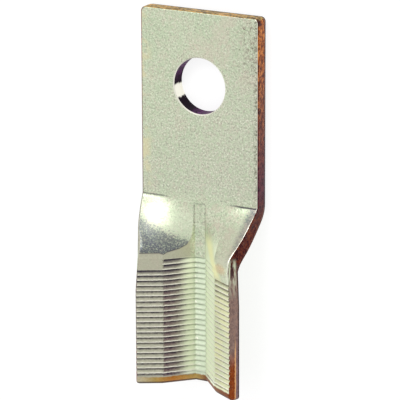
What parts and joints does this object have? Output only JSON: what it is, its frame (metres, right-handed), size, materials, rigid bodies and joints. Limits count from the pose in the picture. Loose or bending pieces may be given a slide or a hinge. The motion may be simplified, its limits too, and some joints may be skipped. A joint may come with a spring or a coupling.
{
  "type": "adapter terminal",
  "caption": "Flat palm with a bolt hole, folded at its other end into a serrated V-shaped trough that a clamp presses a wire against.",
  "frame": {"origin": "centre of the bolt hole on the back face, which is the plane the part lies on", "axes": "+X across the strip, +Y along the palm towards its free end, +Z out of the serrated front"},
  "size_m": [0.03, 0.0876, 0.0122],
  "materials": {
    "plated_copper": "dull tin plating over copper, with bare copper on the cut edges"
  },
  "bodies": {
    "root": {"terminal_strip": "plated_copper"}
  },
  "joints": []
}
